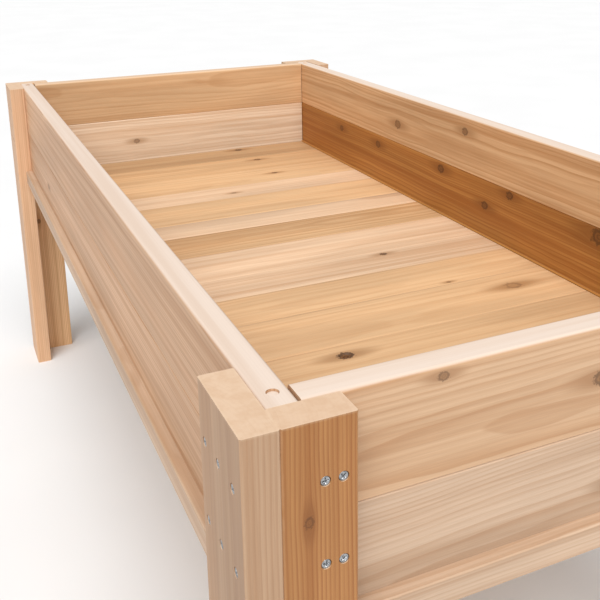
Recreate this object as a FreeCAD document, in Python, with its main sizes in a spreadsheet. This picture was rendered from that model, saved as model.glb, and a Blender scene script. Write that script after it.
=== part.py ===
"""Raised planter on legs: a cedar box for soil that stands on four L-shaped legs.

The row frame is in millimetres: +X along the long side, +Y towards the back, +Z up, and the origin is
on the ground under the middle. Most pieces are drawn in the frame of the side that they belong to:
local x goes inwards from that side's outer plane, local y goes up and local z goes along the side.
"""

import FreeCAD, Part

import os
import Sketcher

DOC = FreeCAD.newDocument("raised_planter")

# name in the sheet, size in mm, what it is
DIMENSIONS = (
    ("length", 1210, "outside length over the legs"),
    ("width", 584, "outside width over the legs"),
    ("height", 500, "height of the legs and of the rim"),
    ("leg_thick", 22.5, "thickness of the leg boards"),
    ("leg_wide", 73.5, "width of the leg board on the long side"),
    ("leg_narrow", 45.5, "width of the leg board on the end"),
    ("ease", 0.9, "chamfer on the long arrises"),
    ("wall_thick", 21, "thickness of the wall boards"),
    ("wall_board", 76, "height of one wall board on its face"),
    ("rim_round", 3, "rounding of the rim"),
    ("tongue", 6, "width and height of the tongue between two wall boards"),
    ("tongue_play", 0.4, "room above the tongue"),
    ("end_gap", 1, "gap between an end wall and a long wall"),
    ("rail_wide", 35, "width of a bottom rail"),
    ("rail_high", 20, "height of a bottom rail"),
    ("ledge", 10, "how far a rail stands out of the wall"),
    ("lip", 10, "height of the rail's lip outside the foot of the wall"),
    ("floor_thick", 10, "thickness of the floor boards"),
    ("floor_gap", 1.5, "gap round the floor"),
    ("seam_gap", 0.8, "gap between the two floor panels"),
    ("bearer_wide", 35, "width of the cleats and bearers under the floor"),
    ("bearer_thick", 18, "thickness of the cleats and bearers"),
    ("cleat_inset", 25, "from the side's outer plane to a cleat"),
    ("cleat_end", 45, "from the end's outer plane to the end of a cleat"),
    ("bearer_end", 35, "from the end's outer plane to the end of the centre bearer"),
    ("cross_end", 30, "from the side's outer plane to the end of the cross bearer"),
    ("plug_size", 8, "diameter of the wooden plugs in the rim of the long walls"),
    ("plug_long", 30, "length of a plug"),
    ("plug_sunk", 1.2, "how far a plug lies below the rim"),
    ("plug_inset", 15, "from the end of a long wall to its plug"),
    ("screw_shank", 4, "diameter of the screws"),
    ("screw_head", 6, "diameter of a screw's head"),
    ("screw_head_high", 2.2, "height of a screw's head"),
    ("screw_sunk", 0.3, "how far a head lies below the wood"),
    ("head_play", 0.25, "room round a head, on the radius"),
    ("screw_long", 40, "length of the leg screws"),
    ("screw_short", 25, "length of the bearer screws"),
    ("row_upper", 38, "from the rim to the screws in the upper wall boards"),
    ("row_lower", 91, "from the rim to the screws in the lower wall boards"),
    ("row_rail", 157, "from the rim to the screws in the rails"),
    ("side_screw_corner", 15, "from the end's outer plane to the screws into the other leg board"),
    ("side_screw_middle", 40, "from the end's outer plane to the middle screws"),
    ("side_screw_inner", 64, "from the end's outer plane to the inner screws"),
    ("end_screw_outer", 48, "from the side's outer plane to the outer screws in an end"),
    ("end_screw_inner", 59, "from the side's outer plane to the inner screws in an end"),
)

# widths of the floor boards, counted from the right end: the first panel, then the second
PANEL_BOARDS = ((69, 75, 75, 75, 85, 69, 60, 85), (77, 55, 90, 60, 80, 83, 74.2))

# side: turn about Z, and the point on its outer plane where its frame stands
SIDES = {
    "front": (0, ("0", "-dim.width / 2")),
    "right": (90, ("dim.length / 2", "0")),
    "back": (180, ("0", "dim.width / 2")),
    "left": (270, ("-dim.length / 2", "0")),
}
HALF_RUN = {
    "front": "dim.length / 2",
    "right": "dim.width / 2",
    "back": "dim.length / 2",
    "left": "dim.width / 2",
}
LONG_SIDES = ("front", "back")
ENDS = (1, -1)

# local axis: the origin plane across it, and the way that plane's normal points along it
DRILL_PLANES = {"x": ("YZ_Plane", 1), "y": ("XZ_Plane", -1), "z": ("XY_Plane", 1)}

WALL_FACE = "dim.leg_thick"
WALL_BACK = "dim.leg_thick + dim.wall_thick"
RAIL_FACE = "dim.leg_thick - dim.ledge"
RAIL_BACK = "dim.leg_thick - dim.ledge + dim.rail_wide"
SEAM_Z = "dim.height - dim.wall_board"
SHELF_Z = "dim.height - 2 * dim.wall_board"
RAIL_FOOT_Z = "dim.height - 2 * dim.wall_board + dim.lip - dim.rail_high"
HEAD_DEPTH = "dim.screw_sunk + dim.screw_head_high"
PILOT = "dim.screw_long + dim.screw_sunk - dim.leg_thick"
SHORT_PILOT = "dim.screw_short + dim.screw_sunk - dim.bearer_thick"
SHANK_RADIUS = "dim.screw_shank / 2"
HEAD_HOLE_RADIUS = "dim.screw_head / 2 + dim.head_play"
FLOOR_START = f"({RAIL_BACK} + dim.floor_gap)"
FIRST_PANEL = " + ".join(f"dim.panel1_board{n}" for n in range(1, len(PANEL_BOARDS[0]) + 1))
SEAM_PLACE = f"({FLOOR_START} + {FIRST_PANEL})"
BEARER_FOOT_Z = f"{RAIL_FOOT_Z} - dim.bearer_thick"
CROSS_FOOT_Z = f"{RAIL_FOOT_Z} - 2 * dim.bearer_thick"
CLEAT_MIDDLE = "(dim.cleat_inset + dim.bearer_wide / 2)"
CLEAT_SCREW_INSET = f"(dim.cleat_inset + {RAIL_BACK}) / 2"
CLEAT_SCREW_SHARES = (0.05, 0.25, 0.43)
BEARER_SCREW_INSET = f"(dim.bearer_end + {RAIL_BACK}) / 2"
PAIR_OFFSET = "dim.bearer_wide / 4"

# rows of leg screws: the drop below the rim, and the inset from the corner
LEG_ROWS = ("dim.row_upper", "dim.row_lower")
SIDE_INSETS = ("dim.side_screw_middle", "dim.side_screw_inner")
END_INSETS = ("dim.end_screw_outer", "dim.end_screw_inner")
CORNER_SCREWS = [(drop, "dim.side_screw_corner") for drop in LEG_ROWS]
SIDE_SCREWS = [(drop, inset) for drop in LEG_ROWS for inset in SIDE_INSETS]
RAIL_SIDE_SCREWS = [("dim.row_rail", inset) for inset in SIDE_INSETS]
END_SCREWS = [(drop, inset) for drop in LEG_ROWS for inset in END_INSETS]
RAIL_END_SCREWS = [("dim.row_rail", "dim.end_screw_inner")]

SCREW_TURN = 37  # degrees from one screw's slot to the next one's
LEAST_CUT = 1  # mm3 that a pocket takes away at the least
SAME_PLACE = 0.01  # mm within which an edge lies on the rim

NODES = []


def make_sheet():
    """The driving dimensions, one row each: what it is, the size and its alias."""
    sheet = DOC.addObject("Spreadsheet::Sheet", "dim")
    rows = list(DIMENSIONS)
    for panel, widths in enumerate(PANEL_BOARDS, 1):
        for place, width in enumerate(widths, 1):
            rows.append((f"panel{panel}_board{place}", width, "width of a floor board"))
    for row, (alias, value, meaning) in enumerate(rows, 1):
        sheet.set(f"A{row}", meaning)
        sheet.set(f"B{row}", str(value))
        sheet.setAlias(f"B{row}", alias)
    DOC.recompute()
    return sheet


SHEET = make_sheet()


def size(expression):
    """The value of an expression on the sheet, in mm."""
    return float(SHEET.evalExpression(expression.replace("dim.", "")))


def new_sketch(body, name, plane_role, offset):
    """A sketch parallel to one of the body's own origin planes, at an offset along its normal."""
    sketch = body.newObject("Sketcher::SketchObject", name)
    plane = next(f for f in body.Origin.OriginFeatures if f.Role == plane_role)
    sketch.AttachmentSupport = [(plane, "")]
    sketch.MapMode = "FlatFace"
    sketch.setExpression("AttachmentOffset.Base.z", offset)
    return sketch


def pin_point(sketch, geometry, point, where):
    """Ties one point of the sketch to its distances from the origin, given as expressions."""
    for kind, expression in zip(("DistanceX", "DistanceY"), where):
        number = sketch.addConstraint(
            Sketcher.Constraint(kind, -1, 1, geometry, point, size(expression))
        )
        sketch.setExpression(f"Constraints[{number}]", expression)


def draw_outline(sketch, corners):
    """A closed outline of straight lines through corners that are pairs of expressions."""
    points = [FreeCAD.Vector(size(u), size(v), 0) for u, v in corners]
    count = len(points)
    first = sketch.GeometryCount
    for i in range(count):
        sketch.addGeometry(Part.LineSegment(points[i], points[(i + 1) % count]))
    for i in range(count):
        following = first + (i + 1) % count
        sketch.addConstraint(Sketcher.Constraint("Coincident", first + i, 2, following, 1))
        pin_point(sketch, first + i, 1, corners[i])


def draw_holes(sketch, centres, radius):
    """Circles of one radius."""
    for u, v in centres:
        centre = FreeCAD.Vector(size(u), size(v), 0)
        number = sketch.addGeometry(Part.Circle(centre, FreeCAD.Vector(0, 0, 1), size(radius)))
        pin_point(sketch, number, 3, (u, v))
        constraint = sketch.addConstraint(Sketcher.Constraint("Radius", number, size(radius)))
        sketch.setExpression(f"Constraints[{constraint}]", radius)


def new_body(label, side):
    """A body in the frame of one side of the planter."""
    body = DOC.addObject("PartDesign::Body", label)
    body.Label = label
    turn, (place_x, place_y) = SIDES[side]
    upright = FreeCAD.Rotation(FreeCAD.Vector(1, 1, 1), 120)
    body.Placement = FreeCAD.Placement(
        FreeCAD.Vector(size(place_x), size(place_y), 0),
        FreeCAD.Rotation(FreeCAD.Vector(0, 0, 1), turn) * upright,
    )
    body.setExpression("Placement.Base.x", place_x)
    body.setExpression("Placement.Base.y", place_y)
    NODES.append(body)
    return body


def extrude_along(body, corners, length):
    """A section in the side's x and y, run along the side, evenly both ways from its middle."""
    sketch = new_sketch(body, body.Label + "_section", "XY_Plane", "0")
    draw_outline(sketch, corners)
    pad = body.newObject("PartDesign::Pad", body.Label + "_run")
    pad.Profile = sketch
    pad.SideType = "Symmetric"
    pad.setExpression("Length", length)
    body.Tip = pad
    DOC.recompute()


def cut_sketch(body, sketch, depth, reverse):
    """A pocket from the sketch, which must take something away."""
    before = body.Shape.Volume
    pocket = body.newObject("PartDesign::Pocket", sketch.Label + "_cut")
    pocket.Profile = sketch
    pocket.Reversed = reverse
    pocket.setExpression("Length", depth)
    body.Tip = pocket
    DOC.recompute()
    if not body.Shape.Volume < before - LEAST_CUT:
        raise RuntimeError(f"{pocket.Label} takes nothing away")


def drill(body, name, axis, start, centres, radius, depth, way=1):
    """Blind holes along a local axis, from the plane at start on that axis."""
    plane_role, normal_way = DRILL_PLANES[axis]
    sketch = new_sketch(body, f"{body.Label}_{name}", plane_role, f"{normal_way} * ({start})")
    draw_holes(sketch, centres, radius)
    cut_sketch(body, sketch, depth, way == normal_way)


def rectangle(u_low, u_high, v_low, v_high):
    """Corners of a rectangle."""
    return [(u_low, v_low), (u_high, v_low), (u_high, v_high), (u_low, v_high)]


def eased_rectangle(u_low, u_high, v_low, v_high):
    """Corners of a rectangle whose four corners are taken off by a small chamfer."""
    cut = "dim.ease"
    return [
        (f"{u_low} + {cut}", v_low),
        (f"{u_high} - {cut}", v_low),
        (u_high, f"{v_low} + {cut}"),
        (u_high, f"{v_high} - {cut}"),
        (f"{u_high} - {cut}", v_high),
        (f"{u_low} + {cut}", v_high),
        (u_low, f"{v_high} - {cut}"),
        (u_low, f"{v_low} + {cut}"),
    ]


def below_rim(drop):
    """The height of a row of screws that lies a given drop below the rim."""
    return f"dim.height - {drop}"


def from_ends(side, inset):
    """The two places along a side that lie a given inset from its ends."""
    return [f"{end} * ({HALF_RUN[side]} - {inset})" for end in ENDS]


def leg_board(label, side, end, near, far, screws):
    """One upright board of a leg, between two distances from the corner, with its screw holes."""
    half = HALF_RUN[side]
    body = new_body(label, side)
    sketch = new_sketch(body, label + "_section", "XZ_Plane", "0")
    section = eased_rectangle("0", "dim.leg_thick", near, far)
    draw_outline(sketch, [(u, f"{end} * ({half} - ({v}))") for u, v in section])
    pad = body.newObject("PartDesign::Pad", label + "_rise")
    pad.Profile = sketch
    pad.Reversed = True
    pad.setExpression("Length", "dim.height")
    body.Tip = pad
    DOC.recompute()
    centres = [(below_rim(drop), f"{end} * ({half} - {inset})") for drop, inset in screws]
    drill(body, "heads", "x", "0", centres, HEAD_HOLE_RADIUS, HEAD_DEPTH)
    drill(body, "shanks", "x", "0", centres, SHANK_RADIUS, "dim.leg_thick")
    return body


def make_legs():
    """Four legs of two boards: a wide one on the long side and a narrow one butted behind it."""
    for side, end, corner_name in (
        ("front", 1, "front_right"),
        ("back", -1, "back_right"),
        ("back", 1, "back_left"),
        ("front", -1, "front_left"),
    ):
        leg_board(
            f"leg_{corner_name}_wide",
            side,
            end,
            "0",
            "dim.leg_wide",
            CORNER_SCREWS + SIDE_SCREWS + RAIL_SIDE_SCREWS,
        )
    for side, end, corner_name in (
        ("right", -1, "front_right"),
        ("right", 1, "back_right"),
        ("left", -1, "back_left"),
        ("left", 1, "front_left"),
    ):
        body = leg_board(
            f"leg_{corner_name}_narrow",
            side,
            end,
            "dim.leg_thick",
            "dim.leg_thick + dim.leg_narrow",
            END_SCREWS + RAIL_END_SCREWS,
        )
        drill(
            body,
            "corner_pilots",
            "z",
            f"{end} * ({HALF_RUN[side]} - dim.leg_thick)",
            [(inset, below_rim(drop)) for drop, inset in CORNER_SCREWS],
            SHANK_RADIUS,
            PILOT,
            way=-end,
        )


def upper_board_corners():
    """The section of an upper wall board, with a groove for the tongue in its lower edge."""
    middle = f"({WALL_FACE} + dim.wall_thick / 2)"
    groove_low = f"{middle} - dim.tongue / 2"
    groove_high = f"{middle} + dim.tongue / 2"
    groove_top = f"{SEAM_Z} + dim.tongue + dim.tongue_play"
    return [
        (f"{WALL_FACE} + dim.ease", SEAM_Z),
        (groove_low, SEAM_Z),
        (groove_low, groove_top),
        (groove_high, groove_top),
        (groove_high, SEAM_Z),
        (f"{WALL_BACK} - dim.ease", SEAM_Z),
        (WALL_BACK, f"{SEAM_Z} + dim.ease"),
        (WALL_BACK, "dim.height"),
        (WALL_FACE, "dim.height"),
        (WALL_FACE, f"{SEAM_Z} + dim.ease"),
    ]


def lower_board_corners():
    """The section of a lower wall board, with the tongue on its upper edge."""
    middle = f"({WALL_FACE} + dim.wall_thick / 2)"
    tongue_low = f"{middle} - dim.tongue / 2"
    tongue_high = f"{middle} + dim.tongue / 2"
    tongue_top = f"{SEAM_Z} + dim.tongue"
    return [
        (WALL_FACE, SHELF_Z),
        (WALL_BACK, SHELF_Z),
        (WALL_BACK, f"{SEAM_Z} - dim.ease"),
        (f"{WALL_BACK} - dim.ease", SEAM_Z),
        (tongue_high, SEAM_Z),
        (tongue_high, tongue_top),
        (tongue_low, tongue_top),
        (tongue_low, SEAM_Z),
        (f"{WALL_FACE} + dim.ease", SEAM_Z),
        (WALL_FACE, f"{SEAM_Z} - dim.ease"),
    ]


def round_rim(body):
    """Rounds the two long edges at the top of an upper wall board."""
    top = size("dim.height")
    pad = body.Tip
    names = []
    for number, edge in enumerate(pad.Shape.Edges, 1):
        box = edge.BoundBox
        on_rim = abs(box.YMin - top) < SAME_PLACE and box.YLength < SAME_PLACE
        if on_rim and box.XLength < SAME_PLACE:
            names.append(f"Edge{number}")
    rounding = body.newObject("PartDesign::Fillet", body.Label + "_rim")
    rounding.Base = (pad, names)
    rounding.setExpression("Radius", "dim.rim_round")
    body.Tip = rounding
    DOC.recompute()


def wall_run(side):
    """Long walls reach the inner faces of the narrow leg boards, and end walls fit between long walls."""
    if side in LONG_SIDES:
        return "dim.length - 2 * dim.leg_thick"
    return f"dim.width - 2 * ({WALL_BACK} + dim.end_gap)"


def wall_screws(side):
    """The screws that a wall takes at each end."""
    return SIDE_SCREWS if side in LONG_SIDES else END_SCREWS


def make_walls():
    """Two boards to each wall, joined by tongue and groove."""
    for side in SIDES:
        upper = new_body(f"{side}_wall_upper", side)
        extrude_along(upper, upper_board_corners(), wall_run(side))
        round_rim(upper)
        lower = new_body(f"{side}_wall_lower", side)
        extrude_along(lower, lower_board_corners(), wall_run(side))
        for body, row in ((upper, "dim.row_upper"), (lower, "dim.row_lower")):
            insets = [inset for drop, inset in wall_screws(side) if drop == row]
            centres = [(below_rim(row), place) for inset in insets for place in from_ends(side, inset)]
            drill(body, "pilots", "x", WALL_FACE, centres, SHANK_RADIUS, PILOT)
        if side in LONG_SIDES:
            drill_for_plugs(upper, side)


def drill_for_plugs(upper, side):
    """Blind holes for the plugs, down from the rim."""
    places = from_ends(side, "(dim.leg_thick + dim.plug_inset)")
    centres = [(f"{WALL_FACE} + dim.wall_thick / 2", place) for place in places]
    depth = "dim.plug_sunk + dim.plug_long"
    drill(upper, "plug_holes", "y", "dim.height", centres, "dim.plug_size / 2", depth, way=-1)


def rail_corners():
    """The section of a bottom rail: a shelf under the wall and a lip outside the wall's foot."""
    lip_top = f"{SHELF_Z} + dim.lip"
    return [
        (f"{RAIL_FACE} + dim.ease", RAIL_FOOT_Z),
        (RAIL_BACK, RAIL_FOOT_Z),
        (RAIL_BACK, SHELF_Z),
        (WALL_FACE, SHELF_Z),
        (WALL_FACE, lip_top),
        (f"{RAIL_FACE} + dim.ease", lip_top),
        (RAIL_FACE, f"{lip_top} - dim.ease"),
        (RAIL_FACE, f"{RAIL_FOOT_Z} + dim.ease"),
    ]


def notch_rail(body, side, leg_reach):
    """Takes the outer part of a rail away where the leg boards stand."""
    sketch = new_sketch(body, body.Label + "_notches", "XZ_Plane", f"-({RAIL_FOOT_Z})")
    for end in ENDS:
        near, far = (f"{end} * ({HALF_RUN[side]} - ({reach}))" for reach in ("0", leg_reach))
        draw_outline(sketch, rectangle("0", WALL_FACE, near, far))
    cut_sketch(body, sketch, "dim.rail_high", False)


def cleat_screw_places():
    """Where the screws go up through a cleat, along its side."""
    return [f"{end} * {share} * dim.length" for end in ENDS for share in CLEAT_SCREW_SHARES]


def make_rails():
    """Four bottom rails that carry the walls and close the floor in."""
    for side in SIDES:
        if side in LONG_SIDES:
            run = "dim.length - 2 * dim.leg_thick"
            leg_reach = "dim.leg_wide"
            screws = RAIL_SIDE_SCREWS
            below = [(CLEAT_SCREW_INSET, place) for place in cleat_screw_places()]
        else:
            run = f"dim.width - 2 * ({RAIL_BACK})"
            leg_reach = "dim.leg_thick + dim.leg_narrow"
            screws = RAIL_END_SCREWS
            below = [(BEARER_SCREW_INSET, "0")]
        body = new_body(f"{side}_rail", side)
        extrude_along(body, rail_corners(), run)
        notch_rail(body, side, leg_reach)
        pilots = []
        for drop, inset in screws:
            pilots += [(below_rim(drop), place) for place in from_ends(side, inset)]
        drill(body, "pilots", "x", WALL_FACE, pilots, SHANK_RADIUS, PILOT)
        drill(body, "foot_pilots", "y", RAIL_FOOT_Z, below, SHANK_RADIUS, SHORT_PILOT)


def bearer(label, side, inner, outer, foot, run, screws):
    """A flat length of wood under the floor, screwed up into what it carries."""
    body = new_body(label, side)
    extrude_along(body, eased_rectangle(inner, outer, foot, f"{foot} + dim.bearer_thick"), run)
    drill(body, "heads", "y", foot, screws, HEAD_HOLE_RADIUS, HEAD_DEPTH)
    drill(body, "shanks", "y", foot, screws, SHANK_RADIUS, "dim.bearer_thick")
    return body


def make_bearers():
    """Two cleats under the long rails, a bearer down the middle and one across under the floor's seam."""
    along_cleat = [(CLEAT_SCREW_INSET, place) for place in cleat_screw_places()]
    half_wide = "dim.bearer_wide / 2"
    seam_along = f"(dim.length / 2 - {SEAM_PLACE})"
    for side, way in zip(LONG_SIDES, ENDS):
        body = bearer(
            f"{side}_cleat",
            side,
            "dim.cleat_inset",
            "dim.cleat_inset + dim.bearer_wide",
            BEARER_FOOT_Z,
            "dim.length - 2 * dim.cleat_end",
            along_cleat,
        )
        centres = [(CLEAT_MIDDLE, f"{way} * {seam_along} + {end} * {PAIR_OFFSET}") for end in ENDS]
        drill(body, "cross_pilots", "y", BEARER_FOOT_Z, centres, SHANK_RADIUS, SHORT_PILOT)
    body = bearer(
        "centre_bearer",
        "front",
        f"dim.width / 2 - {half_wide}",
        f"dim.width / 2 + {half_wide}",
        BEARER_FOOT_Z,
        "dim.length - 2 * dim.bearer_end",
        [("dim.width / 2", place) for place in from_ends("front", BEARER_SCREW_INSET)],
    )
    centres = [("dim.width / 2", seam_along)]
    drill(body, "cross_pilots", "y", BEARER_FOOT_Z, centres, SHANK_RADIUS, SHORT_PILOT)
    ends = [
        (f"{SEAM_PLACE} + {pair} * {PAIR_OFFSET}", place)
        for pair in ENDS
        for place in from_ends("right", CLEAT_MIDDLE)
    ]
    bearer(
        "cross_bearer",
        "right",
        f"{SEAM_PLACE} - {half_wide}",
        f"{SEAM_PLACE} + {half_wide}",
        CROSS_FOOT_Z,
        "dim.width - 2 * dim.cross_end",
        ends + [(SEAM_PLACE, "0")],
    )


def make_floor():
    """Boards across the planter, glued edge to edge into two panels that drop in on the cleats."""
    place = FLOOR_START
    number = 0
    for panel, widths in enumerate(PANEL_BOARDS, 1):
        for board in range(1, len(widths) + 1):
            number += 1
            place = f"{place} + dim.panel{panel}_board{board}"
            box = DOC.addObject("Part::Box", f"floor_board_{number:02d}")
            box.Label = f"floor_board_{number:02d}"
            box.setExpression("Length", f"dim.panel{panel}_board{board}")
            box.setExpression("Width", f"dim.width - 2 * {FLOOR_START}")
            box.setExpression("Height", "dim.floor_thick")
            box.setExpression("Placement.Base.x", f"dim.length / 2 - ({place})")
            box.setExpression("Placement.Base.y", f"{FLOOR_START} - dim.width / 2")
            box.setExpression("Placement.Base.z", f"{SHELF_Z} - dim.floor_thick")
            NODES.append(box)
        place = f"{place} + dim.seam_gap"


def screw_shape(length):
    """A screw that points down from the middle of its head's top: a flat head with a cross slot."""
    head_radius = size("dim.screw_head") / 2
    head_high = size("dim.screw_head_high")
    shank_radius = size("dim.screw_shank") / 2
    bevel = 0.5
    slot_long = 3.6
    slot_wide = 0.8
    slot_deep = 1.5
    point_long = 5
    turned = [
        (0, 0),
        (head_radius - bevel, 0),
        (head_radius, -bevel),
        (head_radius, -head_high),
        (shank_radius, -head_high),
        (shank_radius, point_long - length),
        (0, -length),
    ]
    corners = [FreeCAD.Vector(radius, 0, rise) for radius, rise in turned]
    face = Part.Face(Part.makePolygon(corners + corners[:1]))
    screw = face.revolve(FreeCAD.Vector(0, 0, 0), FreeCAD.Vector(0, 0, 1), 360)
    for long_x, long_y in ((slot_long, slot_wide), (slot_wide, slot_long)):
        corner = FreeCAD.Vector(-long_x / 2, -long_y / 2, -slot_deep)
        screw = screw.cut(Part.makeBox(long_x, long_y, slot_deep + 1, corner))
    return screw


def add_group(label, shape, places):
    """One node that holds equal solids, each at a place and pointing a way, and turned a little about it."""
    solids = []
    for number, (point, way) in enumerate(places):
        copy = shape.copy()
        spin = FreeCAD.Rotation(FreeCAD.Vector(0, 0, 1), SCREW_TURN * number)
        aim = FreeCAD.Rotation(FreeCAD.Vector(0, 0, -1), FreeCAD.Vector(*way))
        copy.Placement = FreeCAD.Placement(FreeCAD.Vector(*point), aim * spin)
        solids.append(copy)
    group = DOC.addObject("Part::Feature", label)
    group.Label = label
    group.Shape = Part.makeCompound(solids)
    NODES.append(group)


def leg_screw_places():
    """Head places and directions: on the long sides, then on the ends."""
    half_long = size("dim.length / 2")
    half_wide = size("dim.width / 2")
    sunk = size("dim.screw_sunk")
    side_places = []
    end_places = []
    for x_way in ENDS:
        for y_way in ENDS:
            for drop, inset in CORNER_SCREWS + SIDE_SCREWS + RAIL_SIDE_SCREWS:
                x = x_way * (half_long - size(inset))
                y = y_way * (half_wide - sunk)
                side_places.append(((x, y, size(below_rim(drop))), (0, -y_way, 0)))
            for drop, inset in END_SCREWS + RAIL_END_SCREWS:
                x = x_way * (half_long - sunk)
                y = y_way * (half_wide - size(inset))
                end_places.append(((x, y, size(below_rim(drop))), (-x_way, 0, 0)))
    return side_places, end_places


def bearer_screw_places():
    """Heads under the cleats, the centre bearer and the cross bearer, all pointing up."""
    up = (0, 0, 1)
    half_long = size("dim.length / 2")
    half_wide = size("dim.width / 2")
    foot = size(BEARER_FOOT_Z) + size("dim.screw_sunk")
    cross_foot = size(CROSS_FOOT_Z) + size("dim.screw_sunk")
    seam = half_long - size(SEAM_PLACE)
    bearer_x = half_long - size(BEARER_SCREW_INSET)
    cleat_y = half_wide - size(CLEAT_SCREW_INSET)
    crossing_y = half_wide - size(CLEAT_MIDDLE)
    points = [(seam, 0, cross_foot)]
    for way in ENDS:
        points.append((way * bearer_x, 0, foot))
        points += [(size(along), way * cleat_y, foot) for along in cleat_screw_places()]
        points += [(seam + pair * size(PAIR_OFFSET), way * crossing_y, cross_foot) for pair in ENDS]
    return [(point, up) for point in points]


def make_fasteners():
    """The rim's plugs and three groups of screws."""
    top_middle = FreeCAD.Vector(0, 0, 0)
    downwards = FreeCAD.Vector(0, 0, -1)
    plug_radius = size("dim.plug_size / 2")
    plug = Part.makeCylinder(plug_radius, size("dim.plug_long"), top_middle, downwards)
    plug_x = size("dim.length / 2 - dim.leg_thick - dim.plug_inset")
    plug_y = size(f"dim.width / 2 - ({WALL_FACE} + dim.wall_thick / 2)")
    plug_z = size("dim.height - dim.plug_sunk")
    places = [((x * plug_x, y * plug_y, plug_z), (0, 0, -1)) for x in ENDS for y in ENDS]
    add_group("rim_plugs", plug, places)
    side_places, end_places = leg_screw_places()
    add_group("leg_side_screws", screw_shape(size("dim.screw_long")), side_places)
    add_group("leg_end_screws", screw_shape(size("dim.screw_long")), end_places)
    add_group("bearer_screws", screw_shape(size("dim.screw_short")), bearer_screw_places())


def check_and_write():
    """Stops at any object that failed, then writes one file for each node."""
    DOC.recompute()
    for obj in DOC.Objects:
        if "Invalid" in obj.State or "Error" in obj.State:
            raise RuntimeError(f"{obj.Label} failed: {obj.State}")
    for node in NODES:
        if node.Shape.isNull() or not node.Shape.isValid():
            raise RuntimeError(f"{node.Label} has no valid shape")
    os.makedirs("parts", exist_ok=True)
    for node in NODES:
        node.Shape.exportStep(f"parts/{node.Label}.step")
    print(len(NODES), "nodes,", sum(len(node.Shape.Solids) for node in NODES), "solids")


make_legs()
make_walls()
make_rails()
make_bearers()
make_floor()
make_fasteners()
check_and_write()
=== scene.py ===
"""Looks of the raised planter: cedar boards, wooden plugs and zinc-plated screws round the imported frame."""

import math

import bpy
import numpy as np
from mathutils import Matrix, Vector


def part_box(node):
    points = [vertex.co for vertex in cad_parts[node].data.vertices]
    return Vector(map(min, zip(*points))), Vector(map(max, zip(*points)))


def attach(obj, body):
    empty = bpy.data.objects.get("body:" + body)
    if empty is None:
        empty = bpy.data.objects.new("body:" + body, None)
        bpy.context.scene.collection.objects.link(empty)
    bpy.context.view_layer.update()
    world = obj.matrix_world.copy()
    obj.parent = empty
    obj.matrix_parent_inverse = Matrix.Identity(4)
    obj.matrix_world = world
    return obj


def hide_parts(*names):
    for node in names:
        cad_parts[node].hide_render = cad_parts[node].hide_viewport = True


bl_info = {
    "name": "Raised Planter",
    "version": (1, 0, 0),
    "blender": (4, 5, 0),
    "location": "View3D > Sidebar > Planter",
    "description": "Cedar boards, plugs and screws of a raised planter on legs",
    "category": "Object",
}

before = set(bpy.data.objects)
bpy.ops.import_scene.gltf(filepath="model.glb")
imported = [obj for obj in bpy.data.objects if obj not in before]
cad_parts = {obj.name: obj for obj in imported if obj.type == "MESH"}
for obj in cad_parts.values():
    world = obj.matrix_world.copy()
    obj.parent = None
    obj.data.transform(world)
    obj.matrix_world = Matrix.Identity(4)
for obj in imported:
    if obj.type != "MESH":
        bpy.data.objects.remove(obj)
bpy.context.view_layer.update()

MM = 0.001
AXES = "XYZ"
BODY = "root"
# what late wood, the wood round a knot and the planed rim's streaks take of a board's colour; the rim's pale
# colour holds painted top light
LATE_SHARE = (0.66, 0.50, 0.36)
KNOT_HALO = 0.75
# a knot's length over its width, how ragged its outline is, and the share of its radius that its side slopes
KNOT_STRETCH = 1.35
KNOT_ROUGH = 1.5
KNOT_SIDE = 0.35
# the camera stands near the right end and looks at a point inside the box, just under its rim; metres
CAMERA_PLACE = Vector((0.976, -0.414, 0.749))
CAMERA_AIM = Vector((0.094, -0.023, 0.485))
CAMERA_ROLL = math.radians(-0.8)
LENS = 52.2
LENS_SHIFT = (-0.02, -0.22)
# a wide soft sun over a white sky
SKY_STRENGTH = 0.42
SUN_STRENGTH = 3.2
SUN_SPREAD = math.radians(50)
SUN_WAY = Vector((-0.52, 0.24, -0.82))
# share of the top colour (pale planed wood with painted top light) that its streaks keep
TOP_LATE = (0.88, 0.80, 0.72)


def from_display(red, green, blue):
    """Linear colour of three display values from 0 to 255: each is taken to the power 2.4, above a short
    straight toe."""
    shares = np.array((red, green, blue)) / 255
    curved = ((shares + 0.055) / 1.055) ** 2.4
    linear = np.where(shares > 0.04045, curved, shares / 12.92)
    return tuple(float(v) for v in linear)


# ---------------------------------------------------------------------------------------------------
# Settings
# ---------------------------------------------------------------------------------------------------


def colour(label, meaning, *display):
    """A colour that a user may change, given by its display values."""
    return bpy.props.FloatVectorProperty(
        name=label,
        description=meaning,
        subtype="COLOR",
        size=3,
        min=0.0,
        max=1.0,
        default=from_display(*display),
    )


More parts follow.
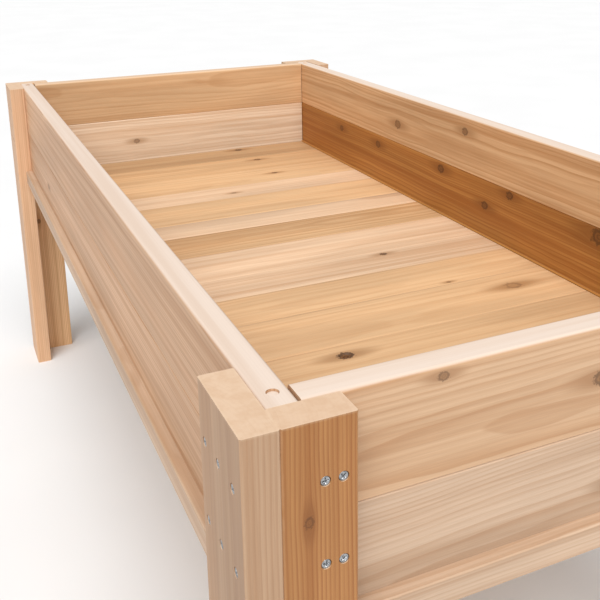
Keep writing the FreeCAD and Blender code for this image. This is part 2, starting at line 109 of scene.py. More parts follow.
class CedarColours(bpy.types.PropertyGroup):
    """Colours of the cedar in its several tones, and of what shows in it."""

    honey: colour("Honey", "Floor boards of the usual tone", 222, 182, 138)
    tan: colour("Tan", "Floor boards a little darker", 214, 174, 130)
    straw: colour("Straw", "Upper boards of the back and left walls", 218, 182, 141)
    pink: colour("Pink", "Sapwood boards with a pink cast", 226, 193, 160)
    pale: colour("Pale", "Upper board of the right wall", 212, 176, 141)
    ash: colour("Ash", "Greyer boards and the rails", 196, 169, 144)
    milk: colour("Milk", "Lightest board", 228, 208, 184)
    amber: colour("Amber", "Heartwood leg boards", 180, 127, 76)
    rose: colour("Rose", "Front wall and wide leg boards", 204, 167, 134)
    umber: colour("Umber", "Darkest boards", 174, 122, 62)
    knot: colour("Knot", "Heart of a knot", 70, 36, 18)
    bark: colour("Bark", "Dark ring round a knot", 44, 22, 12)
    # pale rubbed wood and a painted highlight along the edges
    rubbed_and_lit: colour("Worn", "Rubbed arrises with painted highlights", 240, 216, 186)
    # pale planed wood with painted top light, for the upward faces of the rims and plugs
    cream_and_top_light: colour("Cream", "Planed edges that face up, with painted top light", 231, 214, 200)
    # pale end grain with painted top light, for the legs' tops and the left wall's rim
    peach_and_top_light: colour("Peach", "Sawn ends of the legs, with painted top light", 224, 194, 165)


class MetalColours(bpy.types.PropertyGroup):
    """Colours of the screws."""

    zinc: colour("Zinc", "Zinc plating", 178, 180, 182)
    stain: colour("Stain", "Dull patches on the plating", 142, 144, 146)


class PlanterSizes(bpy.types.PropertyGroup):
    """Sizes of the screws and plugs, and of the wood's figure."""

    head: bpy.props.FloatProperty(
        name="Screw head", description="Diameter of a screw's head", default=6.0 * MM, unit="LENGTH"
    )
    shank: bpy.props.FloatProperty(
        name="Screw shank", description="Diameter of a screw's shank", default=4 * MM, unit="LENGTH"
    )
    head_high: bpy.props.FloatProperty(
        name="Head height", description="Height of a screw's head", default=2.2 * MM, unit="LENGTH"
    )
    recess: bpy.props.FloatProperty(
        name="Recess depth", description="Depth of the cross recess", default=1.3 * MM, unit="LENGTH"
    )
    plug: bpy.props.FloatProperty(
        name="Plug", description="Diameter of a rim plug", default=7.9 * MM, unit="LENGTH"
    )
    ring: bpy.props.FloatProperty(
        name="Ring width", description="Width of a growth ring", default=3.4 * MM, unit="LENGTH"
    )
    ease: bpy.props.FloatProperty(
        name="Ease", description="Radius of the floor boards' rubbed edges", default=0.25 * MM, unit="LENGTH"
    )
    sunken: bpy.props.FloatProperty(
        name="Sunken knots",
        description="Depth of the darkest knot over its radius",
        default=0.3,
        subtype="FACTOR",
    )
    # reach of the rubbed edge and of its painted highlight
    wear_and_highlight: bpy.props.FloatProperty(
        name="Edge wear", description="How far the rubbed edge and its painted highlight reach", default=1.6 * MM, unit="LENGTH"
    )


# ---------------------------------------------------------------------------------------------------
# Node trees
# ---------------------------------------------------------------------------------------------------


def put(tree, kind, inputs=(), **settings):
    """One shader node. inputs maps a socket's name or number to a value or to the socket that feeds it."""
    made = tree.nodes.new("ShaderNode" + kind)
    for name, value in settings.items():
        setattr(made, name, value)
    for name, value in dict(inputs).items():
        if isinstance(value, bpy.types.NodeSocket):
            tree.links.new(value, made.inputs[name])
        else:
            made.inputs[name].default_value = value
    return made


def calc(tree, operation, *values, clamp=False):
    """The result of one Math node."""
    return put(tree, "Math", enumerate(values), operation=operation, use_clamp=clamp).outputs[0]


def ramp(tree, value, low, high, start=0.0, end=1.0):
    """value eased from start at low to end at high, and held outside them."""
    inputs = {"Value": value, "From Min": low, "From Max": high, "To Min": start, "To Max": end}
    return put(tree, "MapRange", inputs, interpolation_type="SMOOTHSTEP").outputs["Result"]


def mixed(tree, factor, first, second, blend="MIX"):
    """The colour of one Mix node."""
    inputs = {0: factor, 6: first, 7: second}
    return put(tree, "Mix", inputs, data_type="RGBA", blend_type=blend).outputs[2]


def opaque(rgb):
    """A colour with its alpha."""
    return (*rgb, 1.0)


def joined(tree, x, y, z):
    """A vector from three values."""
    return put(tree, "CombineXYZ", {0: x, 1: y, 2: z}).outputs[0]


def noise(tree, vector, scale=1.0, detail=2.0, roughness=0.5):
    """Noise from 0 to 1 at a vector."""
    inputs = {"Vector": vector, "Scale": scale, "Detail": detail, "Roughness": roughness}
    return put(tree, "TexNoise", inputs).outputs[0]


def new_group(name, inputs, outputs):
    """An empty node group with float or vector inputs, its input node, and a way to feed its outputs."""
    tree = bpy.data.node_groups.new(name, "ShaderNodeTree")
    for label, kind in inputs:
        tree.interface.new_socket(label, in_out="INPUT", socket_type="NodeSocket" + kind)
    for label in outputs:
        tree.interface.new_socket(label, in_out="OUTPUT", socket_type="NodeSocketFloat")
    source = tree.nodes.new("NodeGroupInput").outputs
    sink = tree.nodes.new("NodeGroupOutput")

    def give(**values):
        for label, value in values.items():
            tree.links.new(value, sink.inputs[label])

    return tree, source, give


def make_knot_group():
    """A round knot on a board's face. The grain parts round it as a stream parts round a post: a point at
    a distance d from the knot is read a share (radius / d) squared nearer to the knot's own line along
    the grain. A thin dark tail runs from it along the grain both ways."""
    names = ("Along", "Across", "Place Along", "Place Across", "Radius", "Rough")
    outputs = ["Push", "Core", "Bark", "Halo", "Rings"]
    tree, of, give = new_group("knot", [(name, "Float") for name in names], outputs)
    along = calc(tree, "DIVIDE", calc(tree, "SUBTRACT", of["Along"], of["Place Along"]), of["Radius"])
    across = calc(tree, "DIVIDE", calc(tree, "SUBTRACT", of["Across"], of["Place Across"]), of["Radius"])
    uneven = noise(tree, joined(tree, along, across, of["Place Along"]), 1.7, 3.0, 0.6)
    uneven = calc(tree, "MULTIPLY_ADD", calc(tree, "SUBTRACT", uneven, 0.5), of["Rough"], 1.0)

    def distance(stretch, factor=1.0):
        flat = calc(tree, "DIVIDE", along, stretch)
        square = calc(tree, "ADD", calc(tree, "MULTIPLY", flat, flat), calc(tree, "MULTIPLY", across, across))
        return calc(tree, "MULTIPLY", calc(tree, "SQRT", square), factor)

    near = distance(KNOT_STRETCH, uneven)
    far = calc(tree, "MAXIMUM", distance(2.6), 1.0)
    share = calc(tree, "DIVIDE", of["Radius"], calc(tree, "POWER", far, 2.0))
    rings = calc(tree, "MULTIPLY_ADD", calc(tree, "SINE", calc(tree, "MULTIPLY", near, 15.0)), 0.5, 0.5)
    thin = ramp(tree, calc(tree, "ABSOLUTE", across), 0.0, 0.42, 1.0, 0.0)
    tail = calc(tree, "MULTIPLY", thin, ramp(tree, calc(tree, "ABSOLUTE", along), 1.0, 7.0, 0.8, 0.0))
    give(
        Push=calc(tree, "MULTIPLY", across, share),
        Core=ramp(tree, near, 0.5, 1.15, 1.0, 0.0),
        Bark=calc(tree, "MULTIPLY", ramp(tree, near, 0.55, 0.95), ramp(tree, near, 0.95, 1.4, 1.0, 0.0)),
        Halo=calc(tree, "MAXIMUM", ramp(tree, distance(3.4), 0.5, 2.6, 1.0, 0.0), tail),
        Rings=rings,
    )
    return tree


def make_grain_group():
    """Growth rings of a tree cut along its length: the distance from the pith, made uneven by noise that
    is long with the grain, is divided by the ring width; each ring darkens slowly to its late wood and
    ends sharply."""
    floats = ("Along", "Across", "Depth", "Pith Across", "Pith Depth", "Ring Width", "Waviness", "Seed")
    tree, of, give = new_group(
        "cedar grain", [(n, "Float") for n in floats], ["Late", "Streak", "Fibre", "Tone", "Pore"]
    )

    def stretched(lengthways, sideways, offset):
        shift = calc(tree, "MULTIPLY", of["Seed"], offset)
        along = calc(tree, "MULTIPLY_ADD", of["Along"], lengthways, shift)
        across = calc(tree, "MULTIPLY_ADD", of["Across"], sideways, shift)
        return joined(tree, along, across, calc(tree, "MULTIPLY", of["Depth"], sideways))

    square = None
    for place, pith in (("Across", "Pith Across"), ("Depth", "Pith Depth")):
        offset = calc(tree, "SUBTRACT", of[place], of[pith])
        term = calc(tree, "MULTIPLY", offset, offset)
        square = term if square is None else calc(tree, "ADD", square, term)
    sway = calc(tree, "SUBTRACT", noise(tree, stretched(2.3, 6.0, 3.7), 1.0, 2.0), 0.5)
    ripple = calc(tree, "SUBTRACT", noise(tree, stretched(9.0, 46.0, 1.9), 1.0, 2.0), 0.5)
    distance = calc(tree, "MULTIPLY_ADD", sway, of["Waviness"], calc(tree, "SQRT", square))
    distance = calc(tree, "MULTIPLY_ADD", ripple, calc(tree, "MULTIPLY", of["Ring Width"], 0.9), distance)
    rings = calc(tree, "DIVIDE", distance, of["Ring Width"])
    part = calc(tree, "FRACT", rings)
    number = calc(tree, "ADD", calc(tree, "FLOOR", rings), of["Seed"])
    strength = put(tree, "TexWhiteNoise", {"W": number}, noise_dimensions="1D").outputs["Value"]
    strength = calc(tree, "MULTIPLY_ADD", strength, 0.7, 0.3)
    rise = ramp(tree, part, 0.15, 0.9)
    late = calc(tree, "MULTIPLY", calc(tree, "MULTIPLY", rise, rise), ramp(tree, part, 0.93, 1.0, 1.0, 0.0))
    streak = noise(tree, stretched(1.7, 130.0, 5.3), 1.0, 4.0, 0.6)
    fibre = noise(tree, stretched(36.0, 1500.0, 2.1), 1.0, 2.0, 0.6)
    tone = noise(tree, stretched(2.6, 17.0, 7.9), 1.0, 3.0, 0.5)
    pore = noise(tree, stretched(1700.0, 1700.0, 0.6), 1.0, 1.0)
    give(
        Late=calc(tree, "MULTIPLY", late, strength),
        Streak=ramp(tree, streak, 0.36, 0.68),
        Fibre=fibre,
        Tone=ramp(tree, tone, 0.3, 0.7),
        Pore=ramp(tree, pore, 0.42, 0.66),
    )
    return tree


def make_wear_group():
    """Arrises of a board, rubbed pale and lightened as a painted highlight: on its surface one of the three
    distances to the box's faces is nothing, and the middle one of them is the distance to the nearest edge."""
    tree, of, give = new_group(
        "edge wear",
        [("Place", "Vector"), ("Middle", "Vector"), ("Half Size", "Vector"), ("Width", "Float")],
        ["Worn"],
    )

    def vector(operation, first, second=None):
        inputs = {0: first} if second is None else {0: first, 1: second}
        return put(tree, "VectorMath", inputs, operation=operation).outputs[0]

    offset = vector("ABSOLUTE", vector("SUBTRACT", of["Place"], of["Middle"]))
    inside = vector("SUBTRACT", of["Half Size"], offset)
    split = put(tree, "SeparateXYZ", {0: inside}).outputs
    smaller = calc(tree, "MINIMUM", split[0], split[1])
    larger = calc(tree, "MAXIMUM", split[0], split[1])
    middle = calc(tree, "MAXIMUM", smaller, calc(tree, "MINIMUM", larger, split[2]))
    uneven = calc(tree, "MULTIPLY_ADD", noise(tree, of["Place"], 70.0, 3.0, 0.6), 1.5, 0.2)
    reach = calc(tree, "DIVIDE", middle, calc(tree, "MULTIPLY", of["Width"], uneven))
    give(Worn=ramp(tree, reach, 0.1, 1.0, 1.0, 0.0))
    return tree


GROUPS = {}


def group(tree, name, inputs):
    """One of the shared node groups, placed in a tree with its own values."""
    if name not in GROUPS:
        GROUPS[name] = {"knot": make_knot_group, "grain": make_grain_group, "wear_and_highlight": make_wear_group}[name]()
    made = tree.nodes.new("ShaderNodeGroup")
    made.node_tree = GROUPS[name]
    for label, value in inputs.items():
        if isinstance(value, bpy.types.NodeSocket):
            tree.links.new(value, made.inputs[label])
        else:
            made.inputs[label].default_value = value
    return made.outputs


def new_material(name):
    """An empty material, its tree and its Principled shader."""
    material = bpy.data.materials.new(name)
    material.use_nodes = True
    tree = material.node_tree
    tree.nodes.clear()
    shader = put(tree, "BsdfPrincipled")
    output = put(tree, "OutputMaterial")
    tree.links.new(shader.outputs[0], output.inputs[0])
    return material, tree, shader


def box_of(node):
    """Middle and half size of a CAD node, as arrays in metres."""
    low, high = (np.array(corner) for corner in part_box(node))
    return (low + high) / 2, (high - low) / 2


def cedar(
    node, grain, face, tone, light, seed, late, streak,
    ring=1.0, pith=None, sway=12.0, knots=(), top="", wear_and_highlight=0.12,
):
    """The cedar of one board. grain and face are the axes along its grain and out of its wide face; tone
    names its colour and light multiplies it; pith is where the tree's middle lies, in millimetres
    across the face and below it; each knot is its place along and across the face and its radius, in
    millimetres in the frame, and how dark its heart is; top names the colour of what faces up, a pale
    tone with painted top light in it that fades in as a face turns upward."""
    colours = bpy.context.scene.cedar_colours
    sizes = bpy.context.scene.planter_sizes
    middle, half = box_of(node)
    run = AXES.index(grain)
    out = AXES.index(face)
    side = 3 - run - out
    draw = np.random.default_rng(seed)
    if pith is None:
        pith = (draw.uniform(-60, 60), -draw.uniform(40, 120))
    base = np.clip(np.array(getattr(colours, tone)) * light, 0, 1)
    deep = base * np.array(LATE_SHARE)

    material, tree, shader = new_material("cedar_" + node)
    place = put(tree, "TexCoord").outputs["Object"]
    local = put(tree, "VectorMath", {0: place, 1: tuple(middle)}, operation="SUBTRACT").outputs[0]
    split = put(tree, "SeparateXYZ", {0: local}).outputs
    along, across, depth = split[run], split[side], split[out]
    masks = []
    shifted = across
    for knot_along, knot_across, radius, darkness in knots:
        made = group(
            tree,
            "knot",
            {
                "Along": along,
                "Across": across,
                "Place Along": knot_along * MM - middle[run],
                "Place Across": knot_across * MM - middle[side],
                "Radius": radius * MM,
                "Rough": KNOT_ROUGH,
            },
        )
        shifted = calc(tree, "SUBTRACT", shifted, made["Push"])
        masks.append((made, darkness))
    wood = group(
        tree,
        "grain",
        {
            "Along": along,
            "Across": shifted,
            "Depth": depth,
            "Pith Across": pith[0] * MM,
            "Pith Depth": pith[1] * MM,
            "Ring Width": sizes.ring * ring,
            "Waviness": sway * MM,
            "Seed": float(seed % 97),
        },
    )
    paint = mixed(tree, calc(tree, "MULTIPLY", wood["Late"], late), opaque(base), opaque(deep))
    paint = mixed(tree, calc(tree, "MULTIPLY", wood["Streak"], streak), paint, opaque(deep))
    drift = ramp(tree, wood["Tone"], 0.0, 1.0, 0.90, 1.06)
    paint = mixed(tree, 1.0, paint, joined(tree, drift, drift, drift), "MULTIPLY")
    fine = ramp(tree, wood["Fibre"], 0.25, 0.75, 0.95, 1.04)
    paint = mixed(tree, 1.0, paint, joined(tree, fine, fine, fine), "MULTIPLY")
    for made, darkness in masks:
        paint = mixed(tree, calc(tree, "MULTIPLY", made["Halo"], 0.7), paint, opaque(deep * KNOT_HALO))
        ringed = calc(tree, "MULTIPLY", made["Rings"], 0.35)
        heart = mixed(tree, ringed, opaque(colours.knot), opaque(colours.umber))
        paint = mixed(tree, calc(tree, "MULTIPLY", made["Core"], darkness), paint, heart)
        outline = calc(tree, "MULTIPLY", made["Bark"], 0.25 + 0.55 * darkness)
        paint = mixed(tree, outline, paint, opaque(colours.bark))
    facing = put(tree, "SeparateXYZ", {0: put(tree, "NewGeometry").outputs["Normal"]}).outputs
    cut_end = ramp(tree, calc(tree, "ABSOLUTE", facing[run]), 0.6, 0.8)
    end_paint = mixed(tree, calc(tree, "MULTIPLY", wood["Pore"], 0.35), paint, opaque(deep))
    paint = mixed(tree, calc(tree, "MULTIPLY", cut_end, 0.7), paint, end_paint)
    # faces that look up are mixed towards the top colour: pale planed wood with painted top light, strongest
    # on a face that looks straight up
    if top:
        top_tone_and_light = np.array(getattr(colours, top))
        half_streak = calc(tree, "MULTIPLY", wood["Streak"], 0.5)
        planed_and_lit = mixed(tree, half_streak, opaque(top_tone_and_light), opaque(top_tone_and_light * TOP_LATE))
        upwards = ramp(tree, facing["Z"], 0.35, 0.95, 0.0, 0.88)
        paint = mixed(tree, upwards, paint, planed_and_lit)
    # the arrises are mixed towards a pale colour: rubbed wood and a painted highlight along every edge
    rubbed_and_lit = group(
        tree,
        "wear_and_highlight",
        {"Place": place, "Middle": tuple(middle), "Half Size": tuple(half), "Width": sizes.wear_and_highlight},
    )["Worn"]
    paint = mixed(tree, calc(tree, "MULTIPLY", rubbed_and_lit, wear_and_highlight), paint, opaque(colours.rubbed_and_lit))
    tree.links.new(paint, shader.inputs["Base Color"])
    rough = calc(tree, "MULTIPLY_ADD", wood["Fibre"], 0.22, 0.46)
    rough = calc(tree, "MULTIPLY_ADD", wood["Late"], -0.08, rough, clamp=True)
    tree.links.new(rough, shader.inputs["Roughness"])
    height = calc(tree, "MULTIPLY_ADD", wood["Fibre"], 0.5, calc(tree, "MULTIPLY", wood["Streak"], 0.3))
    height = calc(tree, "MULTIPLY_ADD", wood["Late"], 0.5, height)
    for made, darkness in masks:
        height = calc(tree, "MULTIPLY_ADD", made["Bark"], -0.9 * darkness, height)
    bump = put(tree, "Bump", {"Strength": 0.35, "Distance": 0.25 * MM, "Height": height})
    tree.links.new(bump.outputs[0], shader.inputs["Normal"])
    shader.inputs["Specular IOR Level"].default_value = 0.35
    return material


def zinc():
    """Zinc plating: bright metal with dull patches and a crystal mottle."""
    colours = bpy.context.scene.metal_colours
    material, tree, shader = new_material("zinc_plating")
    place = put(tree, "TexCoord").outputs["Object"]
    patch = ramp(tree, noise(tree, place, 420.0, 4.0, 0.6), 0.42, 0.68)
    crystal = put(tree, "TexVoronoi", {"Vector": place, "Scale": 1600.0}).outputs["Distance"]
    paint = mixed(tree, patch, opaque(colours.zinc), opaque(colours.stain))
    tree.links.new(paint, shader.inputs["Base Color"])
    rough = calc(tree, "MULTIPLY_ADD", patch, 0.25, calc(tree, "MULTIPLY_ADD", crystal, 0.15, 0.22))
    tree.links.new(rough, shader.inputs["Roughness"])
    bump = put(tree, "Bump", {"Strength": 0.2, "Distance": 0.05 * MM, "Height": crystal})
    tree.links.new(bump.outputs[0], shader.inputs["Normal"])
    shader.inputs["Metallic"].default_value = 1.0
    return material


# ---------------------------------------------------------------------------------------------------
# Surfaces
# ---------------------------------------------------------------------------------------------------


def grid_faces(rows, columns, start=0):
    """Faces of a grid that closes on itself from its last column to its first: each joins a point to the
    next one in its row and to the same two in the next row."""
    row = np.arange(rows - 1)[:, None] * columns
    column = np.arange(columns)[None, :]
    following = (column + 1) % columns
    corners = (row + column, row + following, row + columns + following, row + columns + column)
    return np.stack(np.broadcast_arrays(*corners), -1).reshape(-1, 4) + start


def make_mesh(name, points, quads, triangles=None, smooth=True):
    """A mesh object from arrays of points, four-cornered faces and three-cornered faces."""
    triangles = np.zeros((0, 3), int) if triangles is None else triangles
    mesh = bpy.data.meshes.new(name)
    loops = np.concatenate([quads.ravel(), triangles.ravel()])
    counts = np.concatenate([np.full(len(quads), 4), np.full(len(triangles), 3)])
    mesh.vertices.add(len(points))
    mesh.vertices.foreach_set("co", points.astype(np.float32).ravel())
    mesh.loops.add(len(loops))
    mesh.loops.foreach_set("vertex_index", loops.astype(np.int32))
    mesh.polygons.add(len(counts))
    mesh.polygons.foreach_set("loop_start", np.concatenate([[0], np.cumsum(counts)[:-1]]).astype(np.int32))
    mesh.polygons.foreach_set("use_smooth", np.full(len(counts), smooth))
    mesh.update(calc_edges=True)
    mesh.validate()
    made = bpy.data.objects.new(name, mesh)
    bpy.context.scene.collection.objects.link(made)
    return made


def capped(rings):
    """Points and faces of a closed surface from its rings of points, an array of rows, columns and three
    coordinates. The first and the last ring are closed by a fan to the mean of their points."""
    rows, columns = rings.shape[:2]
    points = np.concatenate([rings.reshape(-1, 3), rings[[0, -1]].mean(1)])
    count = rows * columns
    ring = np.arange(columns)
    following = (ring + 1) % columns
    first = np.stack([following, ring, np.full(columns, count)], -1)
    last = count - columns
    final = np.stack([last + ring, last + following, np.full(columns, count + 1)], -1)
    return points, grid_faces(rows, columns), np.concatenate([first, final])


def turned(radii, rises, steps):
    """A turned surface: the point at an angle t on a ring of radius r and rise z is (r cos t, -r sin t,
    z). Its first and last rings close to one point each."""
    angle = np.arange(steps) * 2 * math.pi / steps
    radii = np.asarray(radii)[:, None]
    x = radii * np.cos(angle)
    y = -radii * np.sin(angle)
    z = np.broadcast_to(np.asarray(rises)[:, None], x.shape)
    return capped(np.stack([x, y, z], -1))


def aimed(points, place, way, turn):
    """Points of a piece whose own axis is +Z, turned about that axis, aimed so that +Z points the given
    way, and moved to its place."""
    spin = Matrix.Rotation(turn, 3, "Z")
    aim = Vector(way).to_track_quat("Z", "Y").to_matrix()
    return points @ np.array(aim @ spin).T + np.array(place)


def repeated(name, shape, places, material):
    """One object that holds a copy of a shape at each place and way."""
    points, quads, triangles = shape
    step = len(points)
    turn_step = math.radians(37)
    copies = [aimed(points, place, way, turn_step * i) for i, (place, way) in enumerate(places)]
    shifts = np.arange(len(places))[:, None, None] * step
    made = make_mesh(
        name,
        np.concatenate(copies),
        (quads[None] + shifts).reshape(-1, 4),
        (triangles[None] + shifts).reshape(-1, 3),
    )
    made.data.materials.append(material)
    return made


def screw_shape(length):
    """A screw that points down: a turned head and threaded shank, with a cross recess pressed into the
    head. The recess is as deep at a point as the nearer of its two arms makes it: full along an arm's
    middle, and nothing beyond its width and length."""
    sizes = bpy.context.scene.planter_sizes
    head = sizes.head / 2
    shank = sizes.shank / 2
    bevel = 0.5 * MM
    top = np.linspace(0.05, 1.0, 14) * (head - bevel)
    side_radii = [head - 0.15 * MM, head, head, head - 0.2 * MM, shank]
    side_rises = [-0.12 * MM, -bevel, 0.4 * MM - sizes.head_high, -sizes.head_high, -sizes.head_high]
    turns = 14
    wave = np.arange(2 * turns + 1)
    thread_radii = shank * np.where(wave % 2 == 0, 0.74, 1.0)
    thread_rises = np.linspace(-0.35 * length, 4 * MM - length, len(wave))
    radii = np.concatenate([top, side_radii, thread_radii, [0.1 * MM]])
    rises = np.concatenate([np.zeros(len(top)), side_rises, thread_rises, [-length]])
    points, quads, triangles = turned(radii, rises, 40)
    arm_long = 2.2 * MM
    arm_wide = 0.52 * MM
    x, y, z = points.T
    on_top = z > -bevel / 2
    cut = np.zeros(len(points))
    for lengthways, sideways in ((x, y), (y, x)):
        reach = np.clip((arm_long - np.abs(lengthways)) / (0.8 * MM), 0, 1)
        width = np.clip((arm_wide - np.abs(sideways)) / (0.25 * MM), 0, 1)
        cut = np.maximum(cut, reach * width)
    points[:, 2] -= np.where(on_top, cut * sizes.recess, 0)
    return points, quads, triangles


def plug_shape():
    """A wooden plug that points down, its top edge eased and its cut end a shallow dome."""
    radius = bpy.context.scene.planter_sizes.plug / 2
    share = np.linspace(0.1, 0.9, 6)
    radii = np.concatenate([share * radius, [0.97 * radius, radius, radius, 0.9 * radius]])
    dome = -0.25 * MM * share**2
    rises = np.concatenate([dome, [-0.4 * MM, -0.8 * MM, -29 * MM, -29.8 * MM]])
    return turned(radii, rises, 40)


def stations(half, step, marks, reach):
    """Places from -half to half: even steps, and finer ones within reach of each mark."""
    even = np.linspace(-half, half, max(int(2 * half / step), 4))
    fine = [np.linspace(mark - reach, mark + reach, 41) for mark in marks]
    places = np.unique(np.round(np.concatenate([even, *fine]), 6))
    return places[(places >= -half) & (places <= half)]


def floor_board(node, knots):
    """A floor board with its grain along Y. Its section is a box with corners rounded to quarter circles
    of radius e; towards each end the section draws in by e (1 - sin t) at a distance e (1 - cos t) from
    the end. At a knot the top sinks by the knot's depth times 3 w^2 - 2 w^3, where w rises from 0 at
    the knot's edge to 1 a little way inside it."""
    middle, (half_x, half_y, half_z) = box_of(node)
    sizes = bpy.context.scene.planter_sizes
    ease = sizes.ease
    places = [(x * MM - middle[0], y * MM - middle[1], radius * MM, dark) for y, x, radius, dark in knots]
    flat = stations(half_x - ease, 4 * MM, [place[0] for place in places], 10 * MM)
    inner = stations(half_y - ease, 6 * MM, [place[1] for place in places], 14 * MM)
    turn = np.linspace(0, math.pi / 2, 4)
    rise, run = np.sin(turn) * ease, np.cos(turn) * ease
    side, deck = half_x - ease, half_z - ease
    section_x = np.concatenate([flat, (side + rise)[1:], side + run, -side - rise, (-side - run)[:-1]])
    level = np.full(len(flat), half_z)
    section_z = np.concatenate([level, (deck + run)[1:], -deck - rise, -deck - run, (deck + rise)[:-1]])
    drawn = (ease - rise)[:-1]
    end = (half_y - ease + run)[:-1]
    along = np.concatenate([-end, inner, end[::-1]])[:, None]
    shrink = np.concatenate([drawn, np.zeros(len(inner)), drawn[::-1]])[:, None]
    x = section_x * (1 - shrink / half_x)
    z = section_z * (1 - shrink / half_z)
    y = np.broadcast_to(along, x.shape)
    for knot_x, knot_y, radius, dark in places:
        distance = np.hypot(x - knot_x, (y - knot_y) / KNOT_STRETCH) / radius
        share = np.clip((1 - distance) / KNOT_SIDE, 0, 1)
        z = z - np.where(section_z == half_z, share**2 * (3 - 2 * share) * radius * dark * sizes.sunken, 0)
    return capped(np.stack([x, y, z], -1) + middle)


# ---------------------------------------------------------------------------------------------------
# Pieces
# ---------------------------------------------------------------------------------------------------

# places and ways of the fasteners, in millimetres
HALF_LONG, HALF_WIDE, RIM = 605.0, 292.0, 500.0
SUNK = 0.3
SIDE_ROWS = {38: (15, 40, 64), 91: (15, 40, 64), 157: (40, 64)}
END_ROWS = {38: (48, 59), 91: (48, 59), 157: (59,)}
CORNERS = [(x, y) for x in (1, -1) for y in (1, -1)]

# floor boards from the right end: tone, lightness, seed, late wood, streaks, ring share, knots
FLOOR = (
    ("honey", 1.0, 11, 0.33, 0.26, 1.0, ()),
    ("honey", 1.0, 12, 0.30, 0.23, 1.2, ()),
    ("honey", 0.95, 13, 0.33, 0.23, 1.1, ()),
    ("honey", 0.9, 14, 0.30, 0.26, 1.3, ((-74, 284, 5.5, 1.0),)),
    ("honey", 1.0, 15, 0.30, 0.26, 1.0, ((178, 213, 6.5, 0.12),)),
    ("honey", 1.0, 16, 0.33, 0.29, 0.8, ((116, 172, 1.8, 0.4),)),
    ("pink", 1.0, 17, 0.39, 0.49, 0.7, ((91, 58, 3.2, 0.8),)),
    ("pink", 1.05, 18, 0.45, 0.43, 1.4, ()),
    ("tan", 1.0, 19, 0.63, 0.43, 0.6, ()),
    ("pink", 0.95, 20, 0.33, 0.29, 1.0, ()),
    ("honey", 1.0, 21, 0.36, 0.29, 1.0, ()),
    ("pink", 1.0, 22, 0.33, 0.32, 0.9, ((8, -283, 2.6, 0.35),)),
    ("honey", 1.0, 23, 0.39, 0.32, 1.1, ((110, -365, 3.4, 0.6),)),
    ("tan", 1.0, 24, 0.39, 0.35, 0.9, ((115, -462, 4.2, 0.6),)),
    ("tan", 0.75, 25, 0.42, 0.41, 0.8, ((108, -545, 4.5, 0.9),)),
)

# tone, lightness, seed, late wood, streaks, knots
WALLS = {
    "front_wall_upper": ("rose", 1.15, 31, 0.70, 0.60, ()),
    "front_wall_lower": ("rose", 1.15, 32, 0.65, 0.60, ((-310, 388, 3.0, 0.4),)),
    "back_wall_upper": ("straw", 1.15, 33, 0.75, 0.65, ((0, 480, 4.5, 0.5), (-185, 454, 5.5, 0.45))),
    "back_wall_lower": (
        "umber",
        1.2,
        34,
        0.95,
        0.90,
        (
            (270, 414, 8.0, 0.6),
            (105, 417, 4.5, 0.6),
            (-58, 413, 5.0, 0.6),
            (52, 389, 4.5, 0.6),
            (-249, 408, 4.5, 0.5),
            (-385, 408, 4.0, 0.5),
        ),
    ),
    "right_wall_upper": ("pale", 1.05, 35, 0.50, 0.46, ((-156, 493, 2.6, 0.4), (-33, 463, 4.6, 0.5))),
    "right_wall_lower": ("ash", 1.05, 36, 0.44, 0.42, ((-12, 379, 4.2, 0.6),)),
    "left_wall_upper": ("straw", 1.0, 37, 0.46, 0.44, ()),
    "left_wall_lower": ("milk", 1.05, 38, 0.50, 0.50, ((-80, 383, 3.4, 0.4),)),
}

RAIL_TONES = {"front": ("ash", 1.15), "right": ("ash", 1.15), "back": ("umber", 1.2), "left": ("ash", 0.9)}

# tone of each upper board's planed rim, paler with painted top light on every face that looks up; the lower
# boards have none
RIM_TONES = {
    "front_wall_upper": "cream_and_top_light",
    "back_wall_upper": "cream_and_top_light",
    "right_wall_upper": "cream_and_top_light",
    "left_wall_upper": "peach_and_top_light",
}

# tone and lightness of each corner's wide board and of its narrow board
LEG_TONES = {
    "front_right": ("rose", 0.85, "amber", 1.0),
    # the front left boards are lighter as painted light: the bright light on that far leg and the light
    # bounced under the box
    "front_left": ("rose", 1.2, "straw", 1.3),
    "back_right": ("rose", 0.9, "amber", 1.2),
    "back_left": ("rose", 1.0, "straw", 0.9),
}
NARROW_KNOTS = {
    "front_right": ((439, -254, 2.4, 0.3),),
    "front_left": ((250, -262, 2.6, 0.6), (271, -250, 2.0, 0.5)),
    "back_right": ((210, 250, 3.2, 0.5),),
    "back_left": ((330, 246, 2.6, 0.5),),
}


def dress(node, material):
    """Gives a CAD node its finish."""
    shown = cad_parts[node]
    shown.data.materials.clear()
    shown.data.materials.append(material)


def finish_piece(made, node):
    """Ties a new piece to the frame and lets it stand for a CAD node."""
    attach(made, BODY)
    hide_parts(node)


class PLANTER_OT_legs(bpy.types.Operator):
    """Finishes the eight upright boards of the legs"""

    bl_idname = "planter.legs"
    bl_label = "Legs"

    def execute(self, context):
        for number, (corner, (wide_tone, wide_light, tone, light)) in enumerate(LEG_TONES.items()):
            wide = f"leg_{corner}_wide"
            narrow = f"leg_{corner}_narrow"
            knots = NARROW_KNOTS[corner]
            pith = (-70 if number < 2 else 70, -10)
            seed = 50 + number
            # the legs' sawn tops take the pale top colour with painted top light
            dress(wide, cedar(wide, "Z", "Y", wide_tone, wide_light, seed, 0.40, 0.40, 0.9, top="peach_and_top_light"))
            seed = 60 + number
            finish = cedar(narrow, "Z", "X", tone, light, seed, 0.9, 0.6, 0.8, pith, 9.0, knots, "peach_and_top_light")
            dress(narrow, finish)
        return {"FINISHED"}


